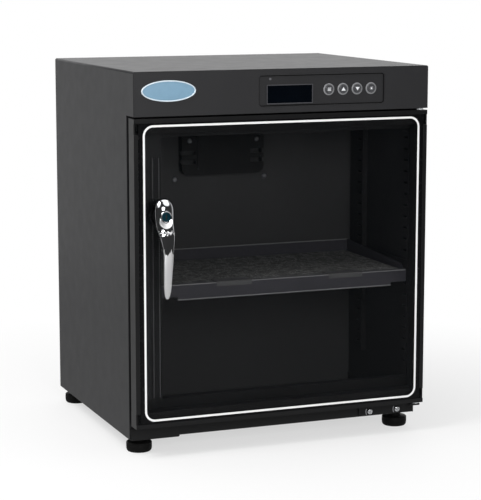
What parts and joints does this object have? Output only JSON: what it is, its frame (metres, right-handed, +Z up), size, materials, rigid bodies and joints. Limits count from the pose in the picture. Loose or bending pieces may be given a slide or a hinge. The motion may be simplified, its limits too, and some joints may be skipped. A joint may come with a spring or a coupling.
{
  "type": "camera dry cabinet",
  "caption": "Charcoal sheet steel dry cabinet with a glass door, lever lock, sliding shelf, header control panel and drying unit, for keeping cameras and lenses.",
  "frame": {"origin": "on the floor, under the middle of the whole outline, handle and rear grille included", "axes": "+X to the right as seen from the front, -Y out of the door, +Z up"},
  "size_m": [0.4, 0.371, 0.485],
  "materials": {
    "paint": "semi-gloss fine texture powder coat, charcoal",
    "dark_paint": "semi-gloss dark charcoal coat",
    "liner_paint": "satin dark grey coat",
    "frame_coat": "satin black door frame",
    "tray_paint": "satin grey coat",
    "zinc": "zinc plated steel",
    "chrome": "bright chrome plate",
    "fins": "plain aluminium",
    "black_plastic": "fine matt black plastic",
    "screen": "dark glossy window",
    "white_plastic": "white plastic",
    "board": "green circuit board",
    "badge": "light steel blue oval with a pale rim",
    "foot_rubber": "black rubber",
    "seal": "soft black seal",
    "foam": "grey mottled foam",
    "tinted_glass": "lightly tinted polished glass",
    "black_print": "black print on glass",
    "white_print": "white print on glass"
  },
  "bodies": {
    "cabinet": {"outer_casing": "paint", "base_pan": "dark_paint", "front_rail": "paint", "corner_plate": "paint", "lock_jamb": "liner_paint", "hinge_jamb": "liner_paint", "bay_floor": "liner_paint", "chamber_back": "liner_paint", "rear_panel": "paint", "jamb_strip": "dark_paint", "header_fascia": "paint", "badge_plate": "badge", "control_bezel": "paint", "display_window": "screen", "display_module": "black_plastic", "control_board": "board", "button_rims": "chrome", "status_lamp": "white_plastic", "inner_vent_cover": "black_plastic", "cold_sink": "fins", "cooling_tile": "white_plastic", "insulating_frame": "foam", "hot_sink": "fins", "rear_vent_cover": "black_plastic", "drip_tray": "black_plastic", "humidity_sensor": "white_plastic", "power_supply": "zinc", "power_inlet": "black_plastic", "rack_posts": "dark_paint", "shelf_runners": "dark_paint", "strike_plate": "zinc", "upper_hinge": "zinc", "lower_hinge": "paint", "hinge_pins": "zinc", "hinge_screws": "chrome", "chamber_screws": "chrome", "rear_screws": "zinc", "feet": "foot_rubber", "foot_screws": "zinc"},
    "door": {"door_glass": "tinted_glass", "lock_stile": "frame_coat", "hinge_stile": "frame_coat", "top_cap": "frame_coat", "bottom_cap": "frame_coat", "glass_border": "black_print", "glass_line": "white_print", "door_gasket": "seal", "hinge_bushes": "white_plastic", "lock_body": "chrome", "lock_nut": "zinc"},
    "handle": {"lever_handle": "chrome", "latch_cam": "zinc"},
    "key": {"key_plug": "zinc"},
    "set_key": {"set_button": "zinc"},
    "up_key": {"up_button": "zinc"},
    "down_key": {"down_button": "zinc"},
    "lamp_key": {"lamp_button": "zinc"},
    "shelf": {"shelf_tray": "tray_paint", "shelf_mat": "foam", "shelf_clips": "tray_paint"}
  },
  "joints": [
    {"name": "door_hinge", "type": "hinge", "parent": "cabinet", "child": "door", "pos_m": [0.1926, -0.155, 0.2336], "axis": [0, 0, 1], "range_deg": [0, 110]},
    {"name": "handle_turn", "type": "hinge", "parent": "door", "child": "handle", "pos_m": [-0.1647, -0.1635, 0.3084], "axis": [0, -1, 0], "range_deg": [0, 90]},
    {"name": "key_turn", "type": "hinge", "parent": "handle", "child": "key", "pos_m": [-0.1647, -0.1815, 0.3084], "axis": [0, 1, 0], "range_deg": [0, 90]},
    {"name": "set_press", "type": "slide", "parent": "cabinet", "child": "set_key", "axis": [0, 1, 0], "range_m": [0, 0.0006], "stiffness_N_per_m": 400, "springref_m": -0.0006},
    {"name": "up_press", "type": "slide", "parent": "cabinet", "child": "up_key", "axis": [0, 1, 0], "range_m": [0, 0.0006], "stiffness_N_per_m": 400, "springref_m": -0.0006},
    {"name": "down_press", "type": "slide", "parent": "cabinet", "child": "down_key", "axis": [0, 1, 0], "range_m": [0, 0.0006], "stiffness_N_per_m": 400, "springref_m": -0.0006},
    {"name": "lamp_press", "type": "slide", "parent": "cabinet", "child": "lamp_key", "axis": [0, 1, 0], "range_m": [0, 0.0006], "stiffness_N_per_m": 400, "springref_m": -0.0006},
    {"name": "shelf_slide", "type": "slide", "parent": "cabinet", "child": "shelf", "axis": [0, -1, 0], "range_m": [0, 0.008]}
  ]
}
